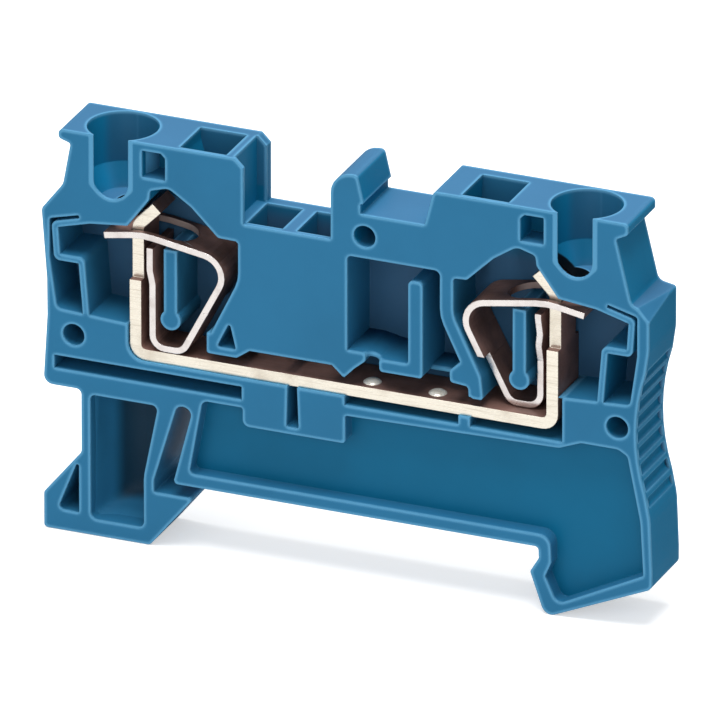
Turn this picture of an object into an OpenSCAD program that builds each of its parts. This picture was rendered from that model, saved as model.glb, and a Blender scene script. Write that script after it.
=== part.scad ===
// Feed-through spring-cage terminal block for a 35 mm top-hat rail.
// X runs along the block, Y through it with the open face at -Y, and Z up from the rail's flange.

/* [Block] */
// Length of the block over its two ends
body_len = 56; // [54:0.5:64]
// Thickness of the block, which is its pitch along the rail
body_t = 6.2; // [5.8:0.1:8]
// Height of the head tops above the rail's flange
top_z = 31.2; // [30.8:0.1:34]
// Depth of the left foot below the rail's flange
foot_drop = 6.1; // [5.6:0.1:7]
// Thickness of the closed wall at the back
back_wall = 1.2; // [0.9:0.1:1.6]
// Sideways offset of the contact parts from the rail's middle
contact_mid = -0.35; // [-0.5:0.05:0]

/* [Rail] */
// Width of the mounting rail over its flanges
rail_w = 35; // [34:0.1:35.5]
// Thickness of the rail's flange
rail_t = 1; // [0.8:0.1:1.3]
// Clearance around the rail's flange
rail_clear = 0.15; // [0.1:0.05:0.3]
// Reach of the left hook under the flange
left_hook = 3.4; // [2:0.1:4]
// Reach of the right hook under the flange
right_hook = 0.6; // [0.4:0.1:1]
// Width of the slit that lets the left foot spring
slit_w = 1.45; // [1:0.05:1.8]

/* [Heads] */
// Distance of the top lips from the ends
lip_in = 1.6; // [1:0.1:2]
// Height of the top lips
lip_h = 0.8; // [0.7:0.05:1]
// Reach of the top lips past the necks below them
lip_reach = 1.1; // [0.6:0.1:1.5]
// Height of the shoulders below the necks
shoulder_z = 23.6; // [23.4:0.1:24.2]
// Distance from the middle to the left head's inner wall
left_head_x = 9.45; // [9.2:0.05:9.8]
// Distance from the middle to the right head's foot
right_head_x = 7.2; // [6.6:0.1:7.6]
// Height of the floor that the jumper shafts open in
jumper_z = 25.2; // [24.9:0.1:26]
// Height of the marker seat
marker_z = 28; // [27.4:0.1:28.6]
// Half thickness of the middle fin
fin_half = 1.4; // [1.1:0.1:1.6]
// Height of the fin above the head tops
fin_rise = 0.3; // [0.1:0.1:1]
// Height of the marker slot under the fin's hook
marker_slot_h = 0.95; // [0.6:0.05:1.3]

/* [Current bar] */
// Height of the bar's underside above the rail's flange
bar_z = 10.9; // [10.7:0.1:11.2]
// Thickness of the bar
bar_th = 1.05; // [0.9:0.05:1.2]
// Distance of the bar's outer faces from the ends of the block
clamp_in = 8.35; // [8:0.05:8.6]
// Middle radius of the bar's bends
bar_bend = 0.95; // [0.7:0.05:1.2]
// Height of the full-width uprights above the bar
upright_h = 6.3; // [5.5:0.1:7]
// Narrowing of the necks on each side
neck_step = 0.65; // [0.5:0.05:0.8]
// Length of the necks' bent tips
tip_len = 2.45; // [2:0.05:3]
// Slope of the bent tips from the horizontal
tip_tilt = 46; // [40:1:52]
// Radius of the two round pips on the bar
pip_r = 0.7; // [0.4:0.05:0.8]
// Height of the pips
pip_h = 0.18; // [0.1:0.02:0.3]

/* [Cage springs] */
// Thickness of the spring strip
spring_th = 0.56; // [0.4:0.02:0.65]
// Height of the cage strip's crest above the bar's top
cage_h = 10.6; // [10.3:0.1:10.9]
// Distance of the supported leg from the bar's outer face
leg_in = 2.1; // [2:0.05:2.2]
// Distance of the back bend from the bar's outer face
bend_in = 9.2; // [9:0.1:9.4]
// Middle radius of the back bend
bend_r = 1.9; // [1.5:0.1:2.1]
// Width of the lower loop
loop_w = 2.75; // [2.5:0.05:2.9]
// Reach of the strip's end past the bar's outer face
cage_end = 2.35; // [1.8:0.05:2.8]
// Step that makes the lower loop narrower than the cage
loop_step = 1.2; // [0.8:0.1:1.6]
// Clearance between a spring and what it sits on
spring_clear = 0.08; // [0.05:0.01:0.2]
// Side clearance between a neck and its window
window_clear = 0.15; // [0.1:0.05:0.3]
// Height of the window's cut below and above the strip's crest
window_reach = 1.1; // [0.9:0.1:1.3]
// Travel of the cage past the neck when it opens
cage_travel = 2.4; // [1.8:0.1:2.6]

/* [Chambers] */
// Inset of the metal parts' edges behind the open face
metal_inset = 0.25; // [0.1:0.05:0.5]
// Clearance between the metal parts and the closed wall
metal_clear = 0.15; // [0.1:0.05:0.4]
// Clearance between the bar's outer faces and the housing
bar_fit = 0.1; // [0.05:0.01:0.2]
// Height of the free gap above the bar
bar_gap = 1.65; // [1.2:0.05:2]
// Thickness of the curved guide wall
guide_th = 1.2; // [0.9:0.1:1.4]
// Thickness of the folded wall in each wire chamber
fold_th = 0.55; // [0.4:0.05:0.7]
// Sideways offset of the guide walls from the contact parts
guide_shift = 0.3; // [0:0.05:0.4]
// Distance of the posts' ends behind the open face
post_inset = 0.5; // [0.2:0.1:1]
// Width of the post inside each spring
post_w = 1.2; // [0.8:0.1:1.4]
// Radius of the post's round lower end
post_r = 0.92; // [0.7:0.02:1]
// Width of the rib in the middle pocket
rib_w = 1.3; // [0.7:0.05:1.5]
// Radius of the round pin sockets
socket_r = 1; // [0.8:0.05:1.1]
// Depth of the round pin sockets
socket_d = 3.2; // [2:0.1:4]

/* [Entries] */
// Radius of the wire funnels
funnel_r = 3.1; // [2.9:0.05:3.2]
// Radius of the ledges at the funnels' lower ends
ledge_r = 2; // [1.9:0.05:2.2]
// Height of the funnels' sloped part
cone_h = 2; // [1.8:0.1:2.2]
// Radius of the wire holes in the ledges
wire_r = 1.6; // [1.4:0.05:1.65]
// Distance of the wire holes' axes behind the open face
wire_d = 2.3; // [2.2:0.05:2.6]
// Offset of the wire holes from the funnels towards the clamps
wire_shift = 1.3; // [1:0.05:1.35]
// Width of the channels that open the funnels to the front
channel_w = 3.2; // [3:0.05:3.4]
// Depth of the channels' round ends below the head tops
channel_h = 5.75; // [5.4:0.05:5.9]
// Distance of the funnels' axes behind the open face
funnel_d = 2.75; // [2.6:0.05:2.85]
// Distance of the funnels' axes from the bar's outer faces
funnel_out = 1.6; // [1.4:0.1:1.8]
// Width of the screwdriver shafts at the top
shaft_w = 4.2; // [3.6:0.1:4.4]
// Thickness of the front wall of the shafts
shaft_wall = 0.45; // [0.3:0.05:0.7]
// Depth of the small square windows in the heads
window_d = 2.6; // [1:0.1:2.8]
// Thickness of the wall between a window and its funnel
window_wall = 0.3; // [0.25:0.05:0.5]
// Thickness of the front wall of the jumper shafts
jumper_wall = 0.55; // [0.4:0.05:0.8]
// Width of the wall between the two jumper shafts
jumper_rib = 1.3; // [0.9:0.1:1.6]

/* [Outside] */
// Depth of the recessed lower panel
panel_d = 1.5; // [0.5:0.1:1.9]
// Width of the rim along the rail seat and the right foot
rim_w = 1.05; // [0.9:0.05:1.5]
// Depth of the long slot, the slit between the tongues and the foot's pockets
pocket_d = 4.9; // [3:0.1:5]
// Slope of the slanted cut over the right shoulder
shoulder_tilt = 48; // [40:1:55]
// Angle at which that cut runs out towards the back
shoulder_lean = 7; // [3:0.5:9]
// Number of grip grooves on the right end
grip_count = 9; // [5:1:10]
// Distance between the grip grooves
grip_pitch = 1.45; // [1.2:0.05:1.6]
// Radius of the grip grooves
grip_r = 0.55; // [0.3:0.05:0.6]
// Hollow of the grip in the right end
grip_sag = 0.85; // [0.4:0.05:1]

/* [Hidden] */
$fn = 48;
arc_step = 15;
over = 1;
end_x = body_len / 2;
open_y = -body_t / 2;
cavity_d = body_t - back_wall;
// Contact parts, measured from the contact middle outwards
clamp_x = end_x - clamp_in;
bar_top = bar_z + bar_th;
contact_w = cavity_d - metal_inset - metal_clear;
neck_w = contact_w - 2 * neck_step;
neck_x = clamp_x - bar_th / 2;
upright_z = bar_top + upright_h;
crest_z = bar_top + cage_h;
loop_z = bar_top + spring_clear + spring_th / 2;
loop_top = crest_z - 0.566 * cage_h;
leg_top = crest_z - 0.108 * cage_h;
post_x = clamp_x - 3.65;
leg_x = clamp_x - leg_in;
bend_x = clamp_x - bend_in;
ceiling_z = bar_top + bar_gap;
roof_z = crest_z + 0.75;
wire_floor_z = bar_top + 2.15;
funnel_x = clamp_x + funnel_out;
shaft_x = clamp_x - 6.7;
// Rail feet
hook_z = -rail_t - rail_clear;
flange_x = rail_w / 2 + rail_clear;
toe_x = rail_w / 2 + 0.6;
step_z = bar_z - 3.55;
foot_leg_x = end_x - 3.6;
slit_top = [-(rail_w / 2 - 2.5), step_z - 0.75];
slit_low = [-(rail_w / 2 - 0.85), 0];
// Neck and lip of the heads
lip_x = end_x - lip_in;
head_neck_x = lip_x - lip_reach;
lip_z = top_z - lip_h;
// Grip of the right end
grip_mid = bar_top + 0.1;
grip_half = 5.6;
grip_edge = end_x - 0.65;

function unit(v) = v / norm(v);
function turn_left(v) = [-v[1], v[0]];
function xz(p) = [p[0], p[1]];

// Points of the arc that rounds corner b, whose third value is the radius, between its neighbours a and c
function corner(a, b, c) =
    let (u = unit(xz(a) - xz(b)), v = unit(xz(c) - xz(b)), half = acos(u * v) / 2)
    b[2] == 0 || half > 89.5 ? [xz(b)] :
    let (
        centre = xz(b) + unit(u + v) * b[2] / sin(half),
        side = u[0] * v[1] - u[1] * v[0] > 0 ? -1 : 1,
        from = xz(b) + u * b[2] / tan(half) - centre,
        sweep = 180 - 2 * half,
        steps = max(1, ceil(sweep / arc_step))
    )
    [for (i = [0:steps]) let (t = side * sweep * i / steps)
        centre + [from[0] * cos(t) - from[1] * sin(t), from[0] * sin(t) + from[1] * cos(t)]];

function rounded(p) =
    let (n = len(p)) [for (i = [0:n - 1]) each corner(p[(i + n - 1) % n], p[i], p[(i + 1) % n])];

function centreline(p) =
    let (n = len(p), bends = [for (i = [1:n - 2]) each corner(p[i - 1], p[i], p[i + 1])])
    concat([xz(p[0])], bends, [xz(p[n - 1])]);

function side_line(q, off) =
    let (n = len(q))
    [for (i = [0:n - 1])
        let (
            a = unit(q[min(i + 1, n - 1)] - q[min(i, n - 2)]),
            b = unit(q[max(i, 1)] - q[max(i - 1, 0)]),
            m = unit(turn_left(a + b))
        )
        q[i] + m * off / (m * turn_left(a))];

module outline(p) {
    polygon(rounded(p));
}

// Strip of even thickness along an open path of [x, z, bend radius] points
module strip(p, th) {
    q = centreline(p);
    back = side_line(q, -th / 2);
    polygon(concat(side_line(q, th / 2), [for (i = [len(back) - 1:-1:0]) back[i]]));
}

// Solid between two depths behind the open face
module slab(d0, d1) {
    translate([0, open_y + d1, 0]) rotate([90, 0, 0]) linear_extrude(d1 - d0) children();
}

// Right-hand shapes measured outwards from the contact middle, and their mirror images at the left end
module right_end() {
    translate([contact_mid, 0, 0]) children();
}

module left_end() {
    translate([contact_mid, 0, 0]) mirror([1, 0, 0]) children();
}

module both_ends() {
    right_end() children();
    left_end() children();
}

function grip_x(z) = grip_edge - grip_sag * (1 - pow((z - grip_mid) / grip_half, 2));

function left_side() = [
    [-lip_x, top_z, 0.35], [-lip_x, lip_z, 0.35], [-head_neck_x, lip_z - 0.35, 0.25],
    [-(end_x - 2), shoulder_z + 2.6, 1.2], [-end_x, shoulder_z, 0.7],
    [-(end_x - 0.6), (shoulder_z + step_z) / 2, 25], [-(end_x - 0.1), step_z, 0.8],
    [-foot_leg_x, step_z, 0.5], [-foot_leg_x, 1.5, 0.6],
    [-(end_x - 0.1), -2.8, 0.5], [-(end_x - 0.1), -foot_drop, 0.35]];

// Left foot with its hook, the slit that lets it spring, and the rail seat
function left_hook_line() =
    let (
        along = unit(slit_top - slit_low), across = turn_left(along) * slit_w / 2,
        cap = slit_top + along * slit_w / 2
    ) [
    [-toe_x, -foot_drop, 0.5], [left_hook - rail_w / 2, hook_z, 0.2], [-flange_x - 0.1, hook_z, 0.15],
    [-flange_x - 0.1, 0, 0.3], [cap[0] + across[0], cap[1] + across[1], 0.7],
    [cap[0] - across[0], cap[1] - across[1], 0.7], [slit_low[0] - across[0], 0, 0.35]];

function right_hook_line() = [
    [flange_x, 0, 0.35], [flange_x + 0.05, hook_z + 0.1, 0.35],
    [rail_w / 2 - right_hook, hook_z - 1.25, 0.25], [toe_x + 0.2, -foot_drop - 0.35, 0.9]];

function right_side() = [
    [end_x, -2.2, 0.6], [end_x, -0.6, 3], [end_x - 0.2, grip_mid - grip_half - 2.3, 4],
    for (i = [-4:4]) let (z = grip_mid + grip_half * i / 4) [grip_x(z), z, 0],
    [end_x - 0.35, shoulder_z - 3.8, 3], [end_x - 0.35, shoulder_z - 0.2, 0.3],
    [end_x - 1.95, shoulder_z + 0.1, 0.8],
    [head_neck_x - 0.7, lip_z - 0.75, 0.25], [lip_x - 0.7, lip_z - 0.2, 0.3], [lip_x - 0.7, top_z, 0.4]];

// Right head's inner slope, marker seat, fin, jumper floor and the left head's inner wall
function top_line() = [
    [right_head_x + 0.8, top_z, 0.3], [right_head_x, marker_z, 0.2],
    [fin_half - 0.1, marker_z, 0.1], [fin_half - 0.1, marker_z + marker_slot_h, 0.1],
    [fin_half + 0.2, marker_z + marker_slot_h, 0.1], [fin_half - 0.4, top_z + fin_rise, 0.4],
    [-fin_half, top_z + fin_rise, 1.9], [-fin_half, jumper_z, 0],
    [-left_head_x, jumper_z, 0], [-left_head_x, top_z - 0.8, 0.1], [-left_head_x - 0.8, top_z, 0.1]];

module body_profile() {
    outline(concat(left_side(), left_hook_line(), right_hook_line(), right_side(), top_line()));
}

// Room for one spring, from the bar's outer face to a guide line that is shifted towards the bar
module spring_room(shift) {
    guide_x = bend_x + shift;
    outline([
        [clamp_x + bar_fit, bar_z, bar_bend + bar_th / 2], [clamp_x + bar_fit, roof_z, 0.3],
        [clamp_x - 1.9, roof_z + 2.7, 0.5], [clamp_x - 2, roof_z + 3.6, 0.4],
        [clamp_x - 3.7, roof_z + 4.1, 0.9], [shaft_x + 0.9, roof_z + 2.7, 0.8],
        [shaft_x - 1.55, roof_z + 0.3, 0.4], [guide_x - 0.6, roof_z + 0.25, 0.3],
        [guide_x - 0.6, crest_z - 2.65, 3], [guide_x + 1.95, bar_top + 2.65, 1],
        [guide_x + 2.05, bar_z, 0]]);
}

// Room that the wire runs down into, with the thin slot round its folded wall
module wire_room() {
    difference() {
        outline([
            [clamp_x - over, wire_floor_z, 0], [clamp_x - over, roof_z, 0], [clamp_x + 0.05, roof_z, 0],
            [funnel_x + 2.9, crest_z + 0.25, 0], [funnel_x + 2.95, crest_z + 0.97, 0.1],
            [end_x - 1.05, crest_z + 0.25, 0.3], [end_x - 1.05, crest_z - 3.4, 0.4],
            [end_x - 1.7, wire_floor_z + 0.4, 0.5]]);
        strip([
            [funnel_x + 2.1, crest_z + 0.6, 0], [end_x - 1.55, crest_z - 0.25, 0.3],
            [end_x - 1.75, crest_z - 3.25, 0.3], [funnel_x + 2.75, crest_z - 3.25, 0.3],
            [funnel_x + 2.25, wire_floor_z - over, 0]], fold_th);
    }
}

// Keyhole-shaped post inside one spring
module post() {
    translate([post_x - post_w / 2, bar_top + 3]) square([post_w, crest_z - bar_top - 4.1]);
    translate([post_x, bar_top + 3]) circle(r = post_r);
}

// Open pocket in the middle of the block, down to the bar
module middle_pocket() {
    guide_x = contact_mid + bend_x + guide_shift;
    outline([
        [0.1, ceiling_z - over, 0], [0.1, jumper_z - 1.2, 0.4],
        [guide_x - 0.6 - guide_th, jumper_z - 1.2, 0.5], [guide_x - 0.6 - guide_th, crest_z - 2.65, 3],
        [guide_x + 1.95 - guide_th, bar_top + 2.65, 0], [guide_x + 2.15, bar_top + 0.1, 0]]);
}

// Walls that stand in the middle: the spike, the rib with its lip, and the guide wall's stepped foot
module middle_walls() {
    outline([[-1.3, ceiling_z + over, 0], [-1.3, ceiling_z, 0.2], [-0.2, ceiling_z - 1, 0.2],
        [0.8, ceiling_z + 0.05, 0.4], [1.75, ceiling_z + 0.85, 0.3], [1.8, ceiling_z + 1.6, 0.2],
        [0, ceiling_z + 1.6, 0]]);
    outline([[3, ceiling_z + 1.25, 0.3], [3.1, ceiling_z + 0.15, 0.3], [5.7 + rib_w, ceiling_z + 0.15, 0.3],
        [5.7 + rib_w, jumper_z - 2.6, 0.4], [5.7, jumper_z - 2.6, 0.4], [5.7, ceiling_z + 1.25, 0.3]]);
    translate([contact_mid + bend_x + guide_shift, bar_top]) outline([
        [-0.9, 3, 0.3], [-0.85, 1.95, 0.3], [0.7, 1.8, 0.2], [1.1, 0.75, 0.25], [2.15, 0.75, 0.25],
        [1.95, 2.65, 0], [0.75, 4.6, 0]]);
}

// Curved guide wall between the middle pocket and the right spring
module guide_wall() {
    guide_x = bend_x + guide_shift - guide_th / 2;
    right_end() strip([
        [guide_x - 0.6, jumper_z, 0], [guide_x - 0.6, crest_z - 2.65, 3],
        [guide_x + 1.95, bar_top + 2.65, 0.8], [guide_x + 2.05, bar_top + 0.9, 0]], guide_th);
}

// Run of the bar, with the free gaps below it at the right
module bar_trench() {
    left = contact_mid - clamp_x;
    right = contact_mid + clamp_x;
    translate([left + 2, bar_z]) square([2 * clamp_x - 4, ceiling_z - bar_z]);
    translate([-0.15, bar_z - 0.85]) square([10.45, 0.9]);
    translate([11.35, bar_z - 0.85]) square([right + 0.5 - 11.35, 0.9]);
    translate([right - 2.2, bar_z - 0.85]) square([2.7, wire_floor_z - bar_z + 0.9]);
}

// Foot of the wall between the left spring and the jumper shafts, with the gap's sloped ceiling
module left_wall_foot() {
    translate([contact_mid - bend_x, bar_top]) outline([
        [-2, bar_gap + over, 0], [-2, 0.8, 0.25], [0.75, 0.8, 0.3], [1.95, bar_gap, 0.5],
        [2.35, bar_gap + over, 0]]);
}

module left_wall_pocket() {
    translate([contact_mid - bend_x, bar_top]) outline([[0.1, 4, 0.15], [-1.1, 1.5, 0.2], [0.7, 1.5, 0.2]]);
}

module contact_rooms() {
    difference() {
        union() {
            right_end() spring_room(guide_shift);
            left_end() spring_room(-guide_shift);
            both_ends() wire_room();
            middle_pocket();
            bar_trench();
        }
        middle_walls();
        guide_wall();
        left_wall_foot();
    }
    left_wall_pocket();
}

// Long slot below the bar, the slit between the tongues, and the left foot's pockets
module outer_pockets() {
    translate([-(end_x - 1.1), bar_z - 2]) square([end_x - 1.1 - 9.6, 1.25]);
    outline([[-5.4, bar_z, 0], [-5.5, bar_z - 3.8, 0.15], [-4.35, bar_z - 3.8, 0.15], [-4.5, bar_z, 0]]);
    outline([[-(foot_leg_x - 0.8), step_z - 0.35, 0.5], [slit_top[0] - 2.3, step_z - 0.35, 0.5],
        [-flange_x - 1, 0.2, 3], [-flange_x - 1, 1.45 - foot_drop, 0.6],
        [-(foot_leg_x - 0.8), 1.45 - foot_drop, 0.6]]);
    outline([[-(foot_leg_x + 0.25), 0.9, 0.15], [-(end_x - 1.35), 1.9 - foot_drop, 0.4],
        [-(foot_leg_x + 0.25), 1.8 - foot_drop, 0.2]]);
}

// Lower panel, set back inside the rims of the rail seat, the slit and the right foot
module panel() {
    across = slit_w / 2 + rim_w - 0.2;
    outline([
        [slit_top[0] + across + 0.2, step_z + 0.85, 0.6], [-9.5, step_z + 0.85, 0.2],
        [-9.5, bar_z - 4.4, 0.6], [-0.1, bar_z - 4.4, 0.3],
        [-0.1, bar_z - 1.8, 0.2], [contact_mid + clamp_x + 0.2, bar_z - 1.4, 1],
        [contact_mid + clamp_x + 2.2, bar_z - 0.6, 0.8], [grip_edge - rim_w - 1.4, bar_z - 0.6, 1],
        [grip_edge - rim_w - 0.55, bar_z - 1.1, 0.6], [end_x - rim_w, grip_mid - grip_half - 2.5, 4],
        [end_x - rim_w + 0.3, -1.1, 0.3], [toe_x + 1.25, rim_w - foot_drop - 0.05, 0.7],
        [rail_w / 2 + 0.75, hook_z - 1.5, 0.3], [flange_x + rim_w + 0.1, hook_z - 0.2, 0.5],
        [flange_x + rim_w, rim_w + 0.1, 1.1], [slit_low[0] + across + 0.6, rim_w + 0.1, 0.4]]);
}

// Funnel with a ledge and a wire hole, open through the front as a U-shaped channel
module funnel() {
    cone_z = crest_z + 4.05;
    half = channel_w / 2;
    end_z = top_z - channel_h;
    translate([funnel_x, open_y + funnel_d, cone_z]) cylinder(r = funnel_r, h = top_z - cone_z + over);
    translate([funnel_x, open_y + funnel_d, cone_z - cone_h])
        cylinder(r1 = ledge_r, r2 = funnel_r, h = cone_h);
    translate([funnel_x - wire_shift, open_y + wire_d, crest_z]) cylinder(r = wire_r, h = cone_z - crest_z);
    slab(-over, funnel_d) outline([
        [funnel_x - half, top_z + over, 0], [funnel_x + half, top_z + over, 0],
        [funnel_x + half, end_z, half - 0.01], [funnel_x - half, end_z, half - 0.01]]);
}

// Screwdriver shaft that leans towards the back bend of the spring
module shaft() {
    slab(shaft_wall, cavity_d) outline([
        [shaft_x - shaft_w / 2, top_z + over, 0], [shaft_x + shaft_w / 2, top_z + over, 0],
        [shaft_x + shaft_w / 2, top_z - 1, 2], [shaft_x + 0.3, roof_z + 0.4, 0],
        [shaft_x - 2.5, roof_z + 0.4, 0]]);
}

// Window beside the funnel, which keeps an even wall to it
module head_window() {
    difference() {
        slab(-over, window_d) outline([
            [clamp_x - 3.4, top_z - 3.2, 0.1], [clamp_x - 1.25, top_z - 3.2, 0.1],
            [clamp_x - 1.25, top_z - 0.7, 0.1],
            [clamp_x - 3, top_z - 0.7, 0.1], [clamp_x - 3.4, top_z - 1.1, 0.1]]);
        translate([funnel_x, open_y + funnel_d, top_z - channel_h])
            cylinder(r = funnel_r + window_wall, h = channel_h);
    }
}

// Two shafts for a jumper, and the groove that guides it down the left head's wall
module jumper_shafts() {
    floor_x = -fin_half - 0.05;
    hole_w = (left_head_x - 0.15 + floor_x - jumper_rib) / 2;
    for (x = [floor_x - hole_w, floor_x - 2 * hole_w - jumper_rib])
        slab(jumper_wall, cavity_d) translate([x, ceiling_z - 0.2])
            square([hole_w, jumper_z - ceiling_z + over]);
    translate([-left_head_x - 0.9, open_y + 0.4, jumper_z])
        cube([1.2, body_t - 1.4, top_z - jumper_z + over]);
}

module pin_sockets() {
    for (p = [[3 - end_x - 0.1, bar_top + 0.35], [1.7, jumper_z + 0.8], [end_x - 3.2, bar_top + 0.35]])
        translate([p[0], open_y - over, p[1]]) rotate([-90, 0, 0])
            cylinder(r = socket_r, h = socket_d + over);
}

module grip_grooves() {
    first = grip_mid - grip_pitch * (grip_count - 1) / 2 - 0.6;
    slab(0.45, body_t - 0.45) for (i = [0:grip_count - 1]) let (z = first + i * grip_pitch)
        translate([grip_x(z) + grip_r * 0.35, z]) circle(r = grip_r);
}

// Slanted cut over the right shoulder, deepest at the open face
module shoulder_cut() {
    translate([end_x - 1.7, open_y, shoulder_z + 0.3]) rotate([0, shoulder_tilt, 0])
        rotate([shoulder_lean, 0, 0]) translate([0, -over, 0]) cube([4, body_t + 2 * over, 3]);
}

module housing() {
    color("steelblue") difference() {
        slab(0, body_t) body_profile();
        difference() {
            slab(-over, cavity_d) contact_rooms();
            slab(post_inset, cavity_d) both_ends() post();
        }
        slab(-over, pocket_d) outer_pockets();
        slab(-over, panel_d) panel();
        both_ends() funnel();
        both_ends() shaft();
        both_ends() head_window();
        jumper_shafts();
        pin_sockets();
        grip_grooves();
        shoulder_cut();
    }
}

// Half of the bar's path, from the contact middle out and up to the bent tip
function bar_path() = [
    [neck_x, bar_z + bar_th / 2, bar_bend], [neck_x, crest_z + 0.6, bar_bend],
    [neck_x - tip_len * cos(tip_tilt), crest_z + 0.6 + tip_len * sin(tip_tilt), 0]];

module neck_cut() {
    slab(-over, metal_inset + neck_step) children();
    slab(metal_inset + contact_w - neck_step, body_t + over) children();
}

module current_bar() {
    half = bar_path();
    mirrored = [for (i = [len(half) - 1:-1:0]) [-half[i][0], half[i][1], half[i][2]]];
    color("antiquewhite") {
        difference() {
            right_end() slab(metal_inset, metal_inset + contact_w) strip(concat(mirrored, half), bar_th);
            both_ends() neck_cut() translate([clamp_x - 6, upright_z]) square([7, top_z - upright_z]);
        }
        for (x = [1.8, 7.8])
            translate([x, open_y + metal_inset + 1.3, bar_top - 0.05])
                cylinder(r1 = pip_r, r2 = pip_r - pip_h, h = pip_h + 0.05);
    }
}

// Path of one spring: supported leg, lower loop, sloped limb, back bend and cage strip
function spring_path() =
    let (jog = 0.45 * spring_th, loop_r = 2 * spring_th)
    [
        [leg_x + jog, leg_top, 0], [leg_x + jog, crest_z - 0.3 * cage_h, 1.1 * spring_th],
        [leg_x, crest_z - 0.415 * cage_h, 1.1 * spring_th], [leg_x, loop_z, loop_r],
        [leg_x - loop_w, loop_z, loop_r], [bend_x - 0.125 * bend_r, crest_z - 0.725 * bend_r, bend_r],
        [clamp_x - loop_r, crest_z, 10.7 * spring_th], [clamp_x + cage_end, crest_z - 1.07 * spring_th, 0]];

// Cut that narrows the lower loop from one side: square on the sloped limb, tapered on the supported leg
module loop_cut() {
    taper_z = leg_top - loop_step / 3;
    translate([bend_x, -over, bar_top - over])
        cube([post_x - bend_x, over + loop_step, loop_top - bar_top + over]);
    translate([post_x - 0.01, 0, 0]) rotate([90, 0, 90]) linear_extrude(clamp_x - post_x) polygon([
        [-over, bar_top - over], [loop_step, bar_top - over], [loop_step, loop_top], [0, taper_z],
        [-over, taper_z]]);
}

// Spring for the right end; narrow_back puts the narrow side of its loop at the back
module cage_spring(narrow_back) {
    window_x = clamp_x + spring_clear;
    window_w = neck_w + 2 * window_clear;
    window_len = bar_th + cage_travel + 2 * spring_clear;
    window_d0 = metal_inset + neck_step - window_clear;
    difference() {
        slab(metal_inset, metal_inset + contact_w) strip(spring_path(), spring_th);
        translate([window_x - window_len, open_y + window_d0, crest_z - window_reach])
            cube([window_len, window_w, 2 * window_reach]);
        translate([window_x - window_len, open_y + window_d0 + window_w / 2, crest_z - window_reach])
            cylinder(r = window_w / 2, h = 2 * window_reach);
        translate([0, open_y + metal_inset + contact_w / 2, 0]) mirror([0, narrow_back ? 1 : 0, 0])
            translate([0, -contact_w / 2, 0]) loop_cut();
    }
}

module cage_spring_left() {
    color("silver") left_end() cage_spring(true);
}

module cage_spring_right() {
    color("silver") right_end() cage_spring(false);
}

housing();
current_bar();
cage_spring_left();
cage_spring_right();
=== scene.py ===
import math

import bmesh
import bpy
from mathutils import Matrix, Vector


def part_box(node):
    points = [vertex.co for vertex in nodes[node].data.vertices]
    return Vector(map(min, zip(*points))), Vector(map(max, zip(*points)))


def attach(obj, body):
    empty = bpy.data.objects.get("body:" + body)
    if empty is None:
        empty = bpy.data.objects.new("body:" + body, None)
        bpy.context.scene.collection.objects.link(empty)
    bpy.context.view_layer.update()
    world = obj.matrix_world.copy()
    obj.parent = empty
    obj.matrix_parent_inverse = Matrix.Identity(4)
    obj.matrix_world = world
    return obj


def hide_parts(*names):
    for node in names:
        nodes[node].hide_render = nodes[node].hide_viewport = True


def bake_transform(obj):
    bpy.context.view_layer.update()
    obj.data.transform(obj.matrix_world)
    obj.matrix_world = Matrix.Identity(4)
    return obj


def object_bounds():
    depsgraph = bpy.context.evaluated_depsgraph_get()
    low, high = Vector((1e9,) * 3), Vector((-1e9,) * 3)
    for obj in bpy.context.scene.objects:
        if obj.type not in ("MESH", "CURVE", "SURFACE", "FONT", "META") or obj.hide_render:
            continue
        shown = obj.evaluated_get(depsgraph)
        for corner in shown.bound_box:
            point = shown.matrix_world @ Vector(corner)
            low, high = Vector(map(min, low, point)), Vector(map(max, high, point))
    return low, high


mm = 0.001

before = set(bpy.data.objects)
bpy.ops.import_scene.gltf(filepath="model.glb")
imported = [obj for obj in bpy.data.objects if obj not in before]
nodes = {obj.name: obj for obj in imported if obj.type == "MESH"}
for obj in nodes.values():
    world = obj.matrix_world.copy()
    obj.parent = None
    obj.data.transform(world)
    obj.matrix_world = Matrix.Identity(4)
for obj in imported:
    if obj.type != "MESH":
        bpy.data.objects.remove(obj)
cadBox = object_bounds()
scene = bpy.context.scene
scene.view_settings.view_transform = "Standard"
print("frame loaded:", ", ".join(sorted(nodes)))


# small helpers for node trees
def newGroup(name, inputs, outputs):
    group = bpy.data.node_groups.new(name, "ShaderNodeTree")
    for label, kind, value in inputs:
        socket = group.interface.new_socket(name=label, in_out="INPUT", socket_type=kind)
        socket.default_value = value
    for label, kind in outputs:
        group.interface.new_socket(name=label, in_out="OUTPUT", socket_type=kind)
    return group, group.nodes.new("NodeGroupInput"), group.nodes.new("NodeGroupOutput")


def newMaterial(name):
    material = bpy.data.materials.new(name)
    material.use_nodes = True
    tree = material.node_tree
    return material, tree, tree.nodes["Principled BSDF"]


def addNode(tree, kind, **settings):
    node = tree.nodes.new(kind)
    for key, value in settings.items():
        setattr(node, key, value)
    return node


def setInputs(node, **values):
    for key, value in values.items():
        node.inputs[key.replace("_", " ")].default_value = value
    return node


def placeGroup(tree, group, **values):
    return setInputs(addNode(tree, "ShaderNodeGroup", node_tree=group), **values)


def addMath(tree, operation, a, b=None):
    node = addNode(tree, "ShaderNodeMath", operation=operation)
    for index, value in enumerate((a, b)):
        if value is None:
            continue
        if isinstance(value, (int, float)):
            node.inputs[index].default_value = value
        else:
            tree.links.new(value, node.inputs[index])
    return node.outputs[0]


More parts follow.
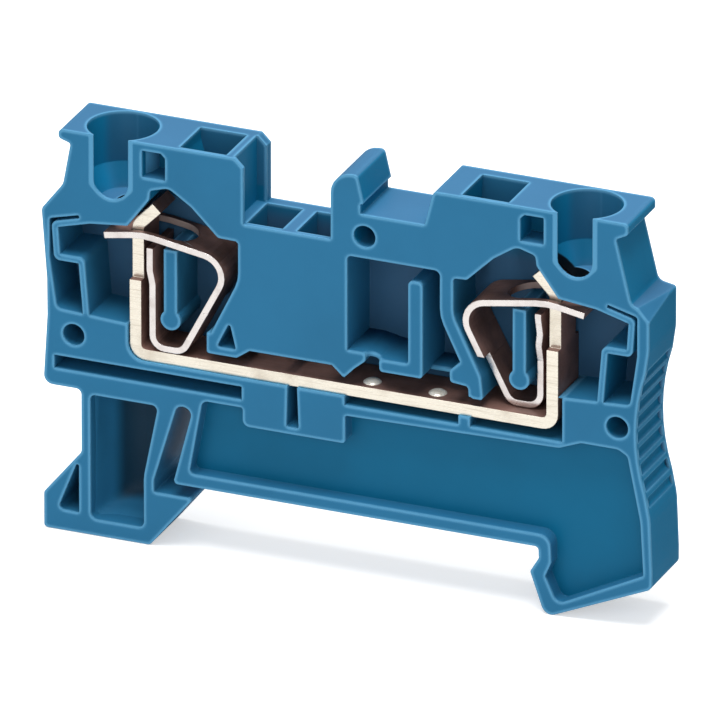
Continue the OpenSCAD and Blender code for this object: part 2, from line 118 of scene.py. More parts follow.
def addRange(tree, value, low, high, toLow=0.0, toHigh=1.0):
    node = addNode(tree, "ShaderNodeMapRange", interpolation_type="SMOOTHSTEP")
    node.inputs["From Min"].default_value = low
    node.inputs["From Max"].default_value = high
    node.inputs["To Min"].default_value = toLow
    node.inputs["To Max"].default_value = toHigh
    tree.links.new(value, node.inputs["Value"])
    return node.outputs["Result"]


def addMix(tree, factor, first, second, blend="MIX"):
    node = addNode(tree, "ShaderNodeMix", data_type="RGBA", blend_type=blend)
    colourSockets = [s for s in node.inputs if s.type == "RGBA"]
    sockets = (node.inputs[0], colourSockets[0], colourSockets[1])
    for socket, value in zip(sockets, (factor, first, second)):
        if hasattr(value, "is_output"):
            tree.links.new(value, socket)
        else:
            socket.default_value = value
    return [s for s in node.outputs if s.type == "RGBA"][0]


# place on the block and direction of the surface, each as x, y and z
def addPlace(tree):
    place = addNode(tree, "ShaderNodeTexCoord")
    split = addNode(tree, "ShaderNodeSeparateXYZ")
    tree.links.new(place.outputs["Object"], split.inputs["Vector"])
    return split.outputs


def addFacing(tree):
    surface = addNode(tree, "ShaderNodeNewGeometry")
    split = addNode(tree, "ShaderNodeSeparateXYZ")
    tree.links.new(surface.outputs["Normal"], split.inputs["Vector"])
    return split.outputs


noiseSpan = (0.3, 0.7)  # most of a noise texture's values lie in here
facingSpan = (0.5, 0.8)  # a surface counts as facing a direction between these


# soft clouds and fine grain, shared by all the materials
def buildGrainGroup():
    group, gin, gout = newGroup(
        "fineGrain",
        [("Cloud Scale", "NodeSocketFloat", 120.0), ("Grain Scale", "NodeSocketFloat", 5000.0)],
        [("Cloud", "NodeSocketFloat"), ("Grain", "NodeSocketFloat")],
    )
    place = addNode(group, "ShaderNodeTexCoord")
    cloud = setInputs(addNode(group, "ShaderNodeTexNoise"), Detail=4.0, Roughness=0.55)
    grain = setInputs(addNode(group, "ShaderNodeTexNoise"), Detail=2.0, Roughness=0.5)
    for noise, label, out in ((cloud, "Cloud Scale", "Cloud"), (grain, "Grain Scale", "Grain")):
        group.links.new(place.outputs["Object"], noise.inputs["Vector"])
        group.links.new(gin.outputs[label], noise.inputs["Scale"])
        group.links.new(noise.outputs["Fac"], gout.inputs[out])
    return group


# fine lines left by rolling and drawing, along one direction of the strip
def buildRolledGroup():
    group, gin, gout = newGroup(
        "rolledLines",
        [("Stretch", "NodeSocketVector", (300.0, 9000.0, 300.0))],
        [("Lines", "NodeSocketFloat")],
    )
    place = addNode(group, "ShaderNodeTexCoord")
    scale = addNode(group, "ShaderNodeVectorMath", operation="MULTIPLY")
    noise = setInputs(addNode(group, "ShaderNodeTexNoise"), Scale=1.0, Detail=3.0, Roughness=0.6)
    group.links.new(place.outputs["Object"], scale.inputs[0])
    group.links.new(gin.outputs["Stretch"], scale.inputs[1])
    group.links.new(scale.outputs["Vector"], noise.inputs["Vector"])
    group.links.new(noise.outputs["Fac"], gout.inputs["Lines"])
    return group


# normals as they run over a small rounding on every edge
def buildRoundedGroup():
    group, gin, gout = newGroup(
        "roundedEdges",
        [("Radius", "NodeSocketFloat", 0.1 * mm)],
        [("Normal", "NodeSocketVector")],
    )
    rounded = addNode(group, "ShaderNodeBevel", samples=6)
    group.links.new(gin.outputs["Radius"], rounded.inputs["Radius"])
    group.links.new(rounded.outputs["Normal"], gout.inputs["Normal"])
    return group


# smooth step with its two ends taken from the group's own inputs
def addGroupRamp(group, gin, gout, value):
    ramp = addNode(group, "ShaderNodeMapRange", interpolation_type="SMOOTHSTEP")
    group.links.new(value, ramp.inputs["Value"])
    group.links.new(gin.outputs["From"], ramp.inputs["From Min"])
    group.links.new(gin.outputs["To"], ramp.inputs["From Max"])
    group.links.new(ramp.outputs["Result"], gout.inputs["Mask"])


# cut edges of a stamped strip, which face along the block's thickness
def buildCutEdgeGroup():
    group, gin, gout = newGroup(
        "cutEdges",
        [("From", "NodeSocketFloat", 0.45), ("To", "NodeSocketFloat", 0.85)],
        [("Mask", "NodeSocketFloat")],
    )
    addGroupRamp(group, gin, gout, addMath(group, "ABSOLUTE", addFacing(group)["Y"]))
    return group


# painted highlight along the convex edges, found from inside the solid, where the moulding catches
# more light
def buildEdgeHighlightGroup():
    group, gin, gout = newGroup(
        "paintedEdgeHighlights",
        [
            ("Width", "NodeSocketFloat", 0.4 * mm),
            ("From", "NodeSocketFloat", 0.03),
            ("To", "NodeSocketFloat", 0.3),
        ],
        [("Mask", "NodeSocketFloat")],
    )
    inside = addNode(group, "ShaderNodeAmbientOcclusion", inside=True, only_local=True, samples=8)
    group.links.new(gin.outputs["Width"], inside.inputs["Distance"])
    addGroupRamp(group, gin, gout, addMath(group, "SUBTRACT", 1.0, inside.outputs["AO"]))
    return group


grainGroup = buildGrainGroup()
rolledGroup = buildRolledGroup()
roundedGroup = buildRoundedGroup()
cutEdgeGroup = buildCutEdgeGroup()
edgeHighlightGroup = buildEdgeHighlightGroup()
print("node groups built")


# rounded edges first, then the fine relief on top of them
def addRelief(tree, bsdf, height, strength, distance, edgeRadius):
    rounded = placeGroup(tree, roundedGroup, Radius=edgeRadius)
    bump = setInputs(addNode(tree, "ShaderNodeBump"), Strength=strength, Distance=distance)
    tree.links.new(height, bump.inputs["Height"])
    tree.links.new(rounded.outputs["Normal"], bump.inputs["Normal"])
    tree.links.new(bump.outputs["Normal"], bsdf.inputs["Normal"])


plasticLook = {
    "outerColour": (0.018, 0.133, 0.258, 1.0),  # spark-eroded outer skin
    "endShadeColour": (0.004, 0.142, 0.282, 1.0),  # painted shade: deeper where it faces along the block
    "endFrom": 22.5 * mm,  # distance from the middle where the outer ends start
    "topSheenColour": (0.042, 0.146, 0.275, 1.0),  # painted sheen: paler where the skin lies open upwards
    "sheenReach": 2.5 * mm,  # walls within this distance keep the painted sheen off
    "sheenOpenSpan": (0.45, 0.85),  # how open such a place has to be
    "sheenSamples": 6,
    "sheenFrom": 20.5 * mm,  # lowest height of the painted sheen on the tops
    "innerColour": (0.002, 0.106, 0.210, 1.0),  # darker colour of the sunk panel and the rooms, whose skin is also smoother
    "innerFrom": 0.9 * mm,  # depth behind the open face where it starts
    "innerTo": 1.3 * mm,
    "deepShadeColour": (0.032, 0.100, 0.190, 1.0),  # painted shade: greyer closed wall of the deep rooms
    "deepFrom": 2.2 * mm,
    "deepTo": 4.2 * mm,
    "roomTop": 23.5 * mm,  # height where the rooms end and the heads start
    "roomFade": 2.0 * mm,
    "headShadeShare": 0.45,  # share of the painted shade in the heads' funnels and shafts
    "coneTop": 26.5 * mm,  # the funnels' cones below this height take none of it
    "coneFade": 0.3 * mm,
    "footShadeColour": (0.006, 0.035, 0.066, 1.0),  # painted shade: darker closed wall of the foot's pocket
    "footTop": 8.5 * mm,
    "footFade": 1.3 * mm,
    "edgeHighlightColour": (0.130, 0.380, 0.600, 1.0),  # painted highlight: pale line along the moulded edges
    "edgeHighlightShare": 0.5,
    "edgeHighlightWidth": 0.36 * mm,
    "edgeRadius": 0.14 * mm,
    "outerRough": 0.52,
    "innerRough": 0.4,
    "grainRough": 0.08,  # roughness that the grain adds
    "specular": 0.12,
    "cloudScale": 90.0,
    "cloudShare": 0.05,
    "grainScale": 6500.0,
    "grainHeight": 0.012 * mm,
    "grainStrength": 0.35,
}

holeShadeLook = {
    "colour": (0.002, 0.008, 0.014, 1.0),  # painted shade: dark inside the wire holes under the cones
    "middle": -0.35 * mm,  # halfway between the two holes
    "away": 19.95 * mm,  # from there to each hole
    "depth": -0.8 * mm,
    "radius": 1.62 * mm,
    "low": 22.0 * mm,
    "fade": 0.12 * mm,
}


# painted shade inside the two upright wire holes, where little light gets in
def addHoleShadeMask(tree, place):
    look = holeShadeLook
    fade, high = look["fade"], plasticLook["coneTop"]
    aside = addMath(tree, "ABSOLUTE", addMath(tree, "SUBTRACT", place["X"], look["middle"]))
    aside = addMath(tree, "POWER", addMath(tree, "SUBTRACT", aside, look["away"]), 2.0)
    behind = addMath(tree, "POWER", addMath(tree, "SUBTRACT", place["Y"], look["depth"]), 2.0)
    away = addMath(tree, "SQRT", addMath(tree, "ADD", aside, behind))
    near = addRange(tree, away, look["radius"] + fade, look["radius"])
    above = addRange(tree, place["Z"], look["low"], look["low"] + fade)
    below = addRange(tree, place["Z"], high, high - fade)
    return addMath(tree, "MULTIPLY", near, addMath(tree, "MULTIPLY", above, below))


# colour of the outer skin, by where it faces: painted shade on the faces along the block and a
# painted sheen on the open tops
def addOuterSkinWithPaintedLight(tree, place, facing, head):
    look = plasticLook
    fade = look["roomFade"]
    away = addMath(tree, "ABSOLUTE", place["X"])
    wide = addRange(tree, away, look["endFrom"], look["endFrom"] + fade)
    # painted shade on the faces that look along the block, and on the heads' sides
    outward = addMath(tree, "MULTIPLY", facing["X"], addMath(tree, "SIGN", place["X"]))
    endward = addMath(tree, "MULTIPLY", addRange(tree, outward, *facingSpan), wide)
    across = addRange(tree, addMath(tree, "ABSOLUTE", facing["X"]), *facingSpan)
    sideways = addMath(tree, "MAXIMUM", endward, addMath(tree, "MULTIPLY", across, head))
    outer = addMix(tree, sideways, look["outerColour"], look["endShadeColour"])
    # painted sheen on the open upward faces above the shoulders
    shoulder = addRange(tree, place["Z"], look["sheenFrom"], look["sheenFrom"] + fade)
    around = addNode(
        tree, "ShaderNodeAmbientOcclusion", only_local=True, samples=look["sheenSamples"]
    )
    setInputs(around, Distance=look["sheenReach"])
    bare = addRange(tree, around.outputs["AO"], *look["sheenOpenSpan"])
    upward = addMath(tree, "MULTIPLY", addRange(tree, facing["Z"], *facingSpan), bare)
    return addMix(tree, addMath(tree, "MULTIPLY", upward, shoulder), outer, look["topSheenColour"])


# colour of the sunk surfaces that face the open side, by how deep they lie, with painted shade on
# the closed walls of the deep rooms and the foot's pocket and in the heads' funnels and shafts
def addSunkSkinShade(tree, place, head, openFace):
    look = plasticLook
    far = addRange(tree, place["Y"], openFace + look["deepFrom"], openFace + look["deepTo"])
    room = addMath(tree, "SUBTRACT", 1.0, head)
    cone, coneEnd = look["coneTop"], look["coneTop"] + look["coneFade"]
    upper = addRange(tree, place["Z"], cone, coneEnd, 0.0, look["headShadeShare"])
    # painted shade on the deep rooms' closed walls, and partly in the heads' funnels and shafts
    deepShade = addMath(tree, "MULTIPLY", far, addMath(tree, "MAXIMUM", room, upper))
    # painted shade, darker on the foot pocket's closed wall
    foot = addRange(tree, place["Z"], look["footTop"], look["footTop"] - look["footFade"])
    closed = addMix(tree, foot, look["deepShadeColour"], look["footShadeColour"])
    return addMix(tree, deepShade, look["innerColour"], closed)


def buildPlastic():
    look = plasticLook
    material, tree, bsdf = newMaterial("bluePolyamide")
    grain = placeGroup(
        tree, grainGroup, Cloud_Scale=look["cloudScale"], Grain_Scale=look["grainScale"]
    )
    # mask for the painted highlight along the edges
    edges = placeGroup(tree, edgeHighlightGroup, Width=look["edgeHighlightWidth"])
    place, facing = addPlace(tree), addFacing(tree)
    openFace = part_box("housing")[0].y
    head = addRange(tree, place["Z"], look["roomTop"], look["roomTop"] + look["roomFade"])
    outer = addOuterSkinWithPaintedLight(tree, place, facing, head)
    recess = addSunkSkinShade(tree, place, head, openFace)
    sunk = addRange(tree, place["Y"], openFace + look["innerFrom"], openFace + look["innerTo"])
    front = addRange(tree, facing["Y"], -facingSpan[0], -facingSpan[1])
    inner = addMath(tree, "MULTIPLY", sunk, front)
    # painted shade inside the two wire holes
    holeShade = addHoleShadeMask(tree, place)
    skin = addMix(tree, holeShade, addMix(tree, inner, outer, recess), holeShadeLook["colour"])
    share = look["cloudShare"]
    tone = addRange(tree, grain.outputs["Cloud"], *noiseSpan, 1.0 - share, 1.0 + share)
    toned = addMix(tree, 1.0, skin, tone, "MULTIPLY")
    highlightShare = addRange(tree, holeShade, 0.0, 1.0, look["edgeHighlightShare"], 0.0)  # no painted edge highlights in the holes
    highlightMask = addMath(tree, "MULTIPLY", edges.outputs["Mask"], highlightShare)
    tree.links.new(addMix(tree, highlightMask, toned, look["edgeHighlightColour"]), bsdf.inputs["Base Color"])
    rough = addRange(tree, inner, 0.0, 1.0, look["outerRough"], look["innerRough"])
    uneven = addMath(tree, "MULTIPLY", grain.outputs["Grain"], look["grainRough"])
    tree.links.new(addMath(tree, "ADD", rough, uneven), bsdf.inputs["Roughness"])
    setInputs(bsdf, Specular_IOR_Level=look["specular"])
    addRelief(
        tree, bsdf, grain.outputs["Grain"],
        look["grainStrength"], look["grainHeight"], look["edgeRadius"],
    )
    return material


# what the bar and the springs share
stripLook = {
    "grainScale": 4200.0,
    "stainSpan": (0.5, 0.75, 0.0, 0.5),  # noise from and to, and how much of the stain they bring
    "streakSpan": (0.5, 0.72, 0.0, 0.4),
    "shade": (0.6, 1.35),  # cloudy shading of the wide faces
    "roughSpread": (-0.05, 0.09),
    "faceBlunt": 0.14,  # the wide faces are rougher than the cut edges by this
    "specular": 0.2,
    "lineHeight": 0.003 * mm,
    "lineStrength": 0.25,
    "edgeRadius": 0.1 * mm,
    "edgeShadeFrom": -1.2 * mm,  # painted shade: from this depth on the cut edges get darker and less metallic, as in the windows
    "edgeShadeTo": 0.6 * mm,
    "edgeShadeShare": 0.25,
}

tinLook = {
    "cutColour": (0.78, 0.725, 0.62, 1.0),  # bright cut edges
    "faceColour": (0.20, 0.112, 0.092, 1.0),  # dark brown wide faces, a painted reflection of their dark surroundings
    "stain": (0.42, 0.35, 0.27, 1.0),
    "faceMetal": 0.3,
    "rough": 0.27,
    "cloudScale": 260.0,
    "stretch": (400.0, 9000.0, 9000.0),  # the lines run along the bar
}

steelLook = {
    "cutColour": (0.72, 0.675, 0.65, 1.0),
    # dark brown wide faces, a painted reflection of their dark surroundings
    "faceColour": (0.175, 0.100, 0.083, 1.0),
    "stain": (0.44, 0.37, 0.34, 1.0),
    "faceMetal": 0.25,
    "rough": 0.25,
    "cloudScale": 320.0,
    "stretch": (600.0, 9000.0, 600.0),
    "topLightAndShade": (0.45, 1.8),  # painted shade on the tops under the roofs, painted light on the ends outside the necks
    "topSpan": (0.4, 0.8),
    "topMiddle": -0.35 * mm,
    "topFrom": 18.0 * mm,
    "topTo": 19.2 * mm,
}


# painted shade on the springs' tops under the roofs, and painted light on their ends outside the
# necks
def addPaintedTopLight(tree, look, place):
    upward = addRange(tree, addFacing(tree)["Z"], *look["topSpan"])
    away = addMath(tree, "ABSOLUTE", addMath(tree, "SUBTRACT", place["X"], look["topMiddle"]))
    tone = addRange(tree, away, look["topFrom"], look["topTo"], *look["topLightAndShade"])
    change = addMath(tree, "MULTIPLY", upward, addMath(tree, "SUBTRACT", tone, 1.0))
    return addMath(tree, "ADD", 1.0, change)


def buildStrip(name, look):
    shared = stripLook
    material, tree, bsdf = newMaterial(name)
    grain = placeGroup(
        tree, grainGroup, Cloud_Scale=look["cloudScale"], Grain_Scale=shared["grainScale"]
    )
    cloud = grain.outputs["Cloud"]
    lines = placeGroup(tree, rolledGroup, Stretch=look["stretch"]).outputs["Lines"]
    place = addPlace(tree)
    # painted shade on the cut edges that lie deeper
    edgeShadeFactor = addRange(
        tree, place["Y"], shared["edgeShadeFrom"], shared["edgeShadeTo"], 1.0, shared["edgeShadeShare"]
    )
    cut = addMath(tree, "MULTIPLY", placeGroup(tree, cutEdgeGroup).outputs["Mask"], edgeShadeFactor)
    stain = addRange(tree, cloud, *shared["stainSpan"])
    streak = addRange(tree, lines, *shared["streakSpan"])
    worn = addMath(tree, "MAXIMUM", stain, streak)
    bright = addMix(tree, worn, look["cutColour"], look["stain"])
    shade = addRange(tree, cloud, *noiseSpan, *shared["shade"])
    # the wide faces' painted reflection, with a random cloudy tone
    darkFace = addMix(tree, 1.0, look["faceColour"], shade, "MULTIPLY")
    if "topLightAndShade" in look:
        darkFace = addMix(tree, 1.0, darkFace, addPaintedTopLight(tree, look, place), "MULTIPLY")
    tree.links.new(addMix(tree, cut, darkFace, bright), bsdf.inputs["Base Color"])
    smooth, coarse = (look["rough"] + spread for spread in shared["roughSpread"])
    rough = addRange(tree, lines, *noiseSpan, smooth, coarse)
    blunt = addRange(tree, cut, 0.0, 1.0, shared["faceBlunt"], 0.0)
    tree.links.new(addMath(tree, "ADD", rough, blunt), bsdf.inputs["Roughness"])
    metal = addRange(tree, cut, 0.0, 1.0, look["faceMetal"], 1.0)
    tree.links.new(metal, bsdf.inputs["Metallic"])
    setInputs(bsdf, Specular_IOR_Level=shared["specular"])
    addRelief(
        tree, bsdf, lines, shared["lineStrength"], shared["lineHeight"], shared["edgeRadius"]
    )
    return material


pipHighlightLook = {
    # painted highlight: far brighter than the bar's faces
    "colour": (0.92, 0.87, 0.77, 1.0),
    "cloudScale": 900.0,
    "stainSpan": (0.45, 0.75, 0.0, 0.5),
    "metal": 0.4,
    "blunt": 0.1,  # roughness that the grain adds
}


# buttons on the bar, with a painted highlight: coloured far brighter than the bar's faces, for the
# light they catch
def buildPipHighlight():
    look = pipHighlightLook
    material, tree, bsdf = newMaterial("tinWithPaintedHighlight")
    grain = placeGroup(
        tree, grainGroup, Cloud_Scale=look["cloudScale"], Grain_Scale=stripLook["grainScale"]
    )
    worn = addRange(tree, grain.outputs["Cloud"], *look["stainSpan"])
    colour = addMix(tree, worn, look["colour"], tinLook["stain"])
    tree.links.new(colour, bsdf.inputs["Base Color"])
    smooth, coarse = tinLook["rough"], tinLook["rough"] + look["blunt"]
    rough = addRange(tree, grain.outputs["Grain"], *noiseSpan, smooth, coarse)
    tree.links.new(rough, bsdf.inputs["Roughness"])
    setInputs(bsdf, Metallic=look["metal"])
    addRelief(
        tree, bsdf, grain.outputs["Grain"],
        stripLook["lineStrength"], stripLook["lineHeight"], stripLook["edgeRadius"],
    )
    return material


plastic = buildPlastic()
pipHighlight = buildPipHighlight()
tin = buildStrip("tinnedCopper", tinLook)
steel = buildStrip("springSteel", steelLook)
print("materials built")


def coat(obj, material):
    obj.data.materials.clear()
    obj.data.materials.append(material)


coat(nodes["housing"], plastic)
coat(nodes["current_bar"], tin)
print("housing and bar dressed")


sharpFrom = math.radians(40)  # edges of the added pieces that bend more than this stay sharp


# turns a finished bmesh into a piece with its material and slot
def newPiece(name, mesh, material):
    bmesh.ops.recalc_face_normals(mesh, faces=mesh.faces[:])
    data = bpy.data.meshes.new(name)
    mesh.to_mesh(data)
    mesh.free()
    piece = bpy.data.objects.new(name, data)
    scene.collection.objects.link(piece)
    coat(piece, material)
    return piece


def smoothFaces(mesh):
    for face in mesh.faces:
        face.smooth = True
    for edge in mesh.edges:
        edge.smooth = edge.calc_face_angle(0.0) < sharpFrom


# quads between two closed rings with the same number of points
def bridgeRings(mesh, one, two):
    for i in range(len(one)):
        j = (i + 1) % len(one)
        mesh.faces.new((one[i], one[j], two[j], two[i]))


pipLook = {
    "places": (1.8 * mm, 7.8 * mm),  # along the bar
    "depth": -1.55 * mm,
    "barTop": 11.95 * mm,
    "radius": 0.8 * mm,
    "height": 0.3 * mm,
    "crown": 0.75,  # below 1 the button gets a steeper rim
    "sunk": 0.06 * mm,  # how far the button reaches into the bar
    "rings": 8,
    "sides": 40,
}


# radius and height of each ring of a button, from the foot up
def pipProfile():
    look = pipLook
    profile = [(look["radius"], look["barTop"] - look["sunk"])]
    for ring in range(look["rings"]):
        share = math.cos(0.5 * math.pi * ring / look["rings"])
        rise = look["height"] * (1 - share * share) ** look["crown"]
        profile.append((look["radius"] * share, look["barTop"] + rise))
    return profile


# low round buttons over the bar's two pips
def buildPips():
    look = pipLook
    sides, y = look["sides"], look["depth"]
    turns = [2 * math.pi * i / sides for i in range(sides)]
    mesh = bmesh.new()
    for x in look["places"]:
        loops = []
        for radius, z in pipProfile():
            points = [(x + radius * math.cos(t), y + radius * math.sin(t), z) for t in turns]
            loops.append([mesh.verts.new(point) for point in points])
        top = mesh.verts.new((x, y, look["barTop"] + look["height"]))
        mesh.faces.new(loops[0])
        for low, high in zip(loops, loops[1:]):
            bridgeRings(mesh, low, high)
        for i in range(sides):
            mesh.faces.new((loops[-1][i], loops[-1][(i + 1) % sides], top))
    smoothFaces(mesh)
    pips = newPiece("barPips", mesh, pipHighlight)
    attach(pips, "block")


floorLook = {
    "ledge": (-0.5 * mm, 1.6 * mm, 15.23 * mm),  # from, to and height over the spike's ledge
    "lip": (3.3 * mm, 6.2 * mm, 14.88 * mm),  # the same over the rib's lip
    "notch": (1.8 * mm, 3.0 * mm),  # slot that stays open at the front
    "notchSteps": 14,
    "front": -2.95 * mm,
    "step": (6.6 * mm, 9.9 * mm, 14.17 * mm),  # lower part, up to the guide wall's foot
    "stepFront": -0.97 * mm,
    "back": 2.4 * mm,  # inside the closed wall
    "thick": 0.4 * mm,
    "roll": ((0.0, 0.12 * mm), (0.15 * mm, 0.05 * mm), (0.5 * mm, 0.0)),  # rolled front edge
}


# front edge of the floor's upper part, round the notch, as points at the height of its top
def upperEdge():
    look = floorLook
    (left, ledgeEnd, ledgeZ), (lipStart, right, lipZ) = look["ledge"], look["lip"]
    front, (low, high), steps = look["front"], look["notch"], look["notchSteps"]
    middle, radius = (low + high) / 2, (high - low) / 2
    slope = (lipZ - ledgeZ) / (lipStart - ledgeEnd)
    points = [(left, front, ledgeZ), (ledgeEnd, front, ledgeZ)]
    for i in range(steps + 1):
        turn = math.pi * i / steps
        x = middle - radius * math.cos(turn)
        points.append((x, front + radius * math.sin(turn), ledgeZ + slope * (x - ledgeEnd)))
    return points + [(lipStart, front, lipZ), (right, front, lipZ)]


def lowerEdge():
    left, right, z = floorLook["step"]
    return [(left, floorLook["stepFront"], z), (right, floorLook["stepFront"], z)]


# floor of the middle pocket: it joins the ledge, the rib and the guide wall's foot
def buildPocketFloor():
    back, thick = floorLook["back"], floorLook["thick"]
    mesh = bmesh.new()
    for edge in (upperEdge(), lowerEdge()):
        rings = []
        for x, y, z in edge:
            ring = [(x, y + inward, z - dip) for inward, dip in floorLook["roll"]]
            ring += [(x, back, z), (x, back, z - thick), (x, y, z - thick)]
            rings.append([mesh.verts.new(point) for point in ring])
        mesh.faces.new(rings[0])
        mesh.faces.new(rings[-1])
        for one, two in zip(rings, rings[1:]):
            bridgeRings(mesh, one, two)
    smoothFaces(mesh)
    floor = newPiece("pocketFloor", mesh, plastic)
    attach(floor, "block")


coveLook = {
    "wall": -23.6 * mm,  # left wall of the foot's pocket
    "low": -4.65 * mm,
    "high": 7.0 * mm,
    "right": (-18.7 * mm, -17.3 * mm),  # right wall, below the bend and at the top
    "bend": 0.2 * mm,  # height where that wall starts to lean
    "closed": 1.8 * mm,  # the pocket's closed wall
    "side": (3.6 * mm, 4.2 * mm),  # reach and height of the round corner at the left
    "foot": (2.6 * mm, 3.4 * mm),  # the same at the bottom
    "most": 4.3 * mm,  # no corner comes further forward
    "buried": 0.5 * mm,  # how far its rims and its rear lie in the walls
    "flush": 0.04 * mm,  # the flat part lies this far behind the closed wall's surface
    "steps": 22,
}


def coveRise(away, corner):
    reach, height = corner
    share = 1 - min(max(away / reach, 0.0), 1.0)
    return height * (1 - math.sqrt(1 - share * share))


# x of the pocket's right wall at a height
def coveRight(z):
    low, high = coveLook["right"]
    lean = (z - coveLook["bend"]) / (coveLook["high"] - coveLook["bend"])
    return low + (high - low) * min(max(lean, 0.0), 1.0)


# round inner corners of the foot's pocket, as one lining on its closed wall
def buildFootCove():
    look = coveLook
    left, low, buried, steps = look["wall"], look["low"], look["buried"], look["steps"]
    shares = [1 - math.cos(0.5 * math.pi * i / steps) for i in range(steps + 1)]
    mesh = bmesh.new()
    front, rear = [], []
    for v in shares:
        z = low - buried + (look["high"] - low + 2 * buried) * v
        width = coveRight(z) - left + 2 * buried
        frontRow, rearRow = [], []
        for u in shares:
            x = left - buried + width * u
            rise = math.hypot(coveRise(x - left, look["side"]), coveRise(z - low, look["foot"]))
            y = look["closed"] + look["flush"] - min(rise, look["most"])
            frontRow.append(mesh.verts.new((x, y, z)))
            rearRow.append(mesh.verts.new((x, look["closed"] + buried, z)))
        front.append(frontRow)
        rear.append(rearRow)
    for i in range(steps):
        for j in range(steps):
            for grid in (front, rear):
                corners = (grid[i][j], grid[i][j + 1], grid[i + 1][j + 1], grid[i + 1][j])
                mesh.faces.new(corners)
        for k in (0, steps):
            mesh.faces.new((front[i][k], front[i + 1][k], rear[i + 1][k], rear[i][k]))
            mesh.faces.new((front[k][i], front[k][i + 1], rear[k][i + 1], rear[k][i]))
    smoothFaces(mesh)
    cove = newPiece("footCove", mesh, plastic)
    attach(cove, "block")


buildPips()
buildPocketFloor()
buildFootCove()
print("pips, pocket floor and foot cove built")


springCut = {
    "weld": 0.0005 * mm,  # points closer than this are one
    "cutTolerance": 1e-8,  # in metres
    "seamHeight": 16.2 * mm,  # on the sloped limb, just under the step where the loop gets narrow
    "bendStart": 1.0 * mm,  # the bend starts this far outside the hinge, at the supported leg
    "bendEnd": 1.6 * mm,  # and ends this far inside it, at the foot of the limb
}


# faces above the seam that hang together with the crest of the cage strip
def cageFaces(mesh):
    high = [f for f in mesh.faces if f.calc_center_median().z > springCut["seamHeight"]]
    todo = [max(high, key=lambda f: f.calc_center_median().z)]
    free, found = set(high), set(todo)
    while todo:
        for edge in todo.pop().edges:
            for face in edge.link_faces:
                if face in free and face not in found:
                    found.add(face)
                    todo.append(face)
    return found


# one half of a spring's own mesh, closed again where it is cut
def springPiece(name, source, keepCage):
    mesh = bmesh.new()
    mesh.from_mesh(source.data)
    bmesh.ops.remove_doubles(mesh, verts=mesh.verts, dist=springCut["weld"])
    parts = mesh.verts[:] + mesh.edges[:] + mesh.faces[:]
    seam = (0, 0, springCut["seamHeight"])
    bmesh.ops.bisect_plane(
        mesh, geom=parts, plane_co=seam, plane_no=(0, 0, 1), dist=springCut["cutTolerance"]
    )
    cage = cageFaces(mesh)
    spare = [f for f in mesh.faces if (f in cage) != keepCage]
    bmesh.ops.delete(mesh, geom=spare, context="FACES")
    bmesh.ops.holes_fill(mesh, edges=[e for e in mesh.edges if e.is_boundary], sides=0)
    return newPiece(name, mesh, steel)


# Each spring is two pieces that meet on its sloped limb: the loop with its
# supported leg, and the cage strip, which swings with the joint.
def dressSpring(label, body, node):
    cage = springPiece("springCage" + label, nodes[node], True)
    loop = springPiece("springLoop" + label, nodes[node], False)
    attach(cage, body)
    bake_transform(loop)
    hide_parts(node)
    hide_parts(node)


dressSpring("Left", "left_cage", "cage_spring_left")
dressSpring("Right", "right_cage", "cage_spring_right")
print("springs dressed")


cameraView = {
    "azimuth": 22.6,
    "elevation": 24.2,
    "target": Vector((0.0, 0.0, 13.0 * mm)),
    "distance": 2400 * mm,
    "width": 61.07 * mm,  # width of the view at the target
    "sensor": 36.0,
    "nearest": 10 * mm,
    "farthest": 10000 * mm,
}


def placeCamera():
    view = cameraView
    azimuth, elevation = math.radians(view["azimuth"]), math.radians(view["elevation"])
    direction = Vector((
        math.sin(azimuth) * math.cos(elevation),
        -math.cos(azimuth) * math.cos(elevation),
        math.sin(elevation),
    ))
    data = bpy.data.cameras.new("camera")
    data.sensor_width = view["sensor"]
    data.lens = data.sensor_width * view["distance"] / view["width"]
    data.clip_start = view["nearest"]
    data.clip_end = view["farthest"]
    camera = bpy.data.objects.new("camera", data)
    camera.location = view["target"] + direction * view["distance"]
    camera.rotation_euler = direction.to_track_quat("Z", "Y").to_euler()
    scene.collection.objects.link(camera)
    scene.camera = camera


placeCamera()
print("camera placed")


stageLook = {
    "floorColour": (0.8, 0.8, 0.8, 1.0),
    "floorLift": 0.5,  # how much whiter the floor is to the camera
    "floorDrop": 0.05 * mm,
    "floorSize": 2.0,  # from the middle to each side, in metres
    "white": (1.0, 1.0, 1.0, 1.0),
    "worldStrength": 0.4,
    "cardColour": (0.02, 0.02, 0.02, 1.0),
    "cardX": 31 * mm,  # dark card beside the right end, seen only in that end's gloss
    "cardSize": (220 * mm, 90 * mm),
    "rough": 0.9,
}


def stagePlane(name, corners, material):
    mesh = bpy.data.meshes.new(name)
    mesh.from_pydata(corners, [], [(0, 1, 2, 3)])
    plane = bpy.data.objects.new(name, mesh)
    scene.collection.objects.link(plane)
    coat(plane, material)
    return plane


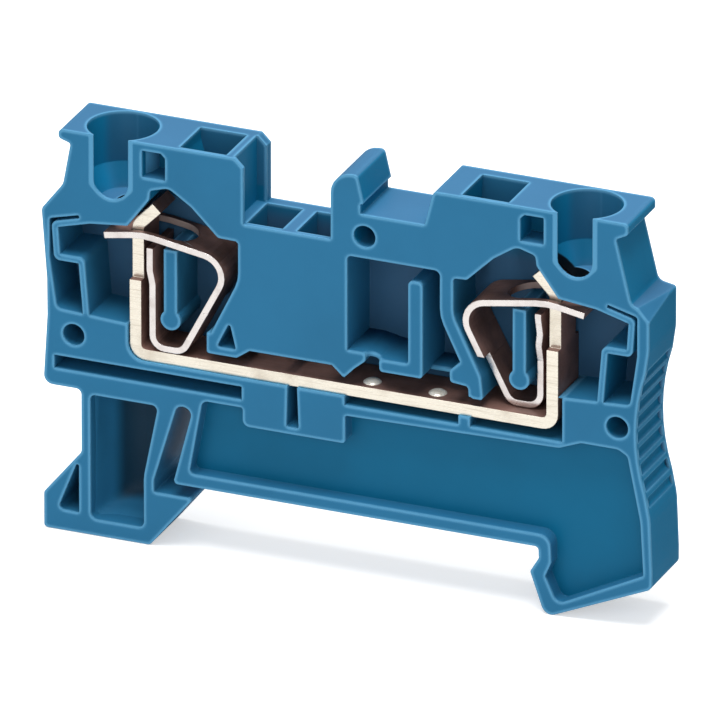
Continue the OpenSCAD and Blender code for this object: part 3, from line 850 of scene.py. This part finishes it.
def buildFloor():
    material, tree, bsdf = newMaterial("paleFloor")
    setInputs(bsdf, Base_Color=stageLook["floorColour"], Roughness=stageLook["rough"])
    setInputs(bsdf, Emission_Color=stageLook["white"], Specular_IOR_Level=0.0)
    path = addNode(tree, "ShaderNodeLightPath")
    lift = addMath(tree, "MULTIPLY", path.outputs["Is Camera Ray"], stageLook["floorLift"])
    tree.links.new(lift, bsdf.inputs["Emission Strength"])
    size, z = stageLook["floorSize"], cadBox[0].z - stageLook["floorDrop"]
    corners = [(-size, -size, z), (size, -size, z), (size, size, z), (-size, size, z)]
    stagePlane("floor", corners, material)


def buildCard():
    material, _, bsdf = newMaterial("darkCard")
    setInputs(bsdf, Base_Color=stageLook["cardColour"], Roughness=stageLook["rough"])
    x, (length, height) = stageLook["cardX"], stageLook["cardSize"]
    low = cadBox[0].z
    corners = [(x, 0, low), (x, length, low), (x, length, low + height), (x, 0, low + height)]
    card = stagePlane("darkCard", corners, material)
    card.visible_camera = False
    card.visible_diffuse = False
    card.visible_shadow = False


def buildWorld():
    world = bpy.data.worlds.new("studio")
    scene.world = world
    world.use_nodes = True
    tree = world.node_tree
    background = tree.nodes["Background"]
    path = addNode(tree, "ShaderNodeLightPath")
    seen = path.outputs["Is Camera Ray"]  # white to the camera, dimmer as light
    strength = addRange(tree, seen, 0.0, 1.0, stageLook["worldStrength"], 1.0)
    background.inputs["Color"].default_value = stageLook["white"]
    tree.links.new(strength, background.inputs["Strength"])


lampLook = {
    "key": {"place": (20, -50, 330), "size": 220, "power": 1.3},  # places and sizes in millimetres
    "fill": {"place": (-120, -300, 140), "size": 240, "power": 0.22},
    "front": {"place": (140, -330, 160), "size": 260, "power": 0.28},
}
lampAim = Vector((0, 0, 12 * mm))


def addLamp(name, place, size, power):
    data = bpy.data.lights.new(name, "AREA")
    data.shape = "DISK"
    data.size = size * mm
    data.energy = power
    lamp = bpy.data.objects.new(name, data)
    lamp.location = Vector(place) * mm
    lamp.rotation_euler = (lampAim - lamp.location).to_track_quat("-Z", "Y").to_euler()
    scene.collection.objects.link(lamp)


buildFloor()
buildCard()
buildWorld()
for lampName, values in lampLook.items():
    addLamp(lampName, **values)
print("stage lit")
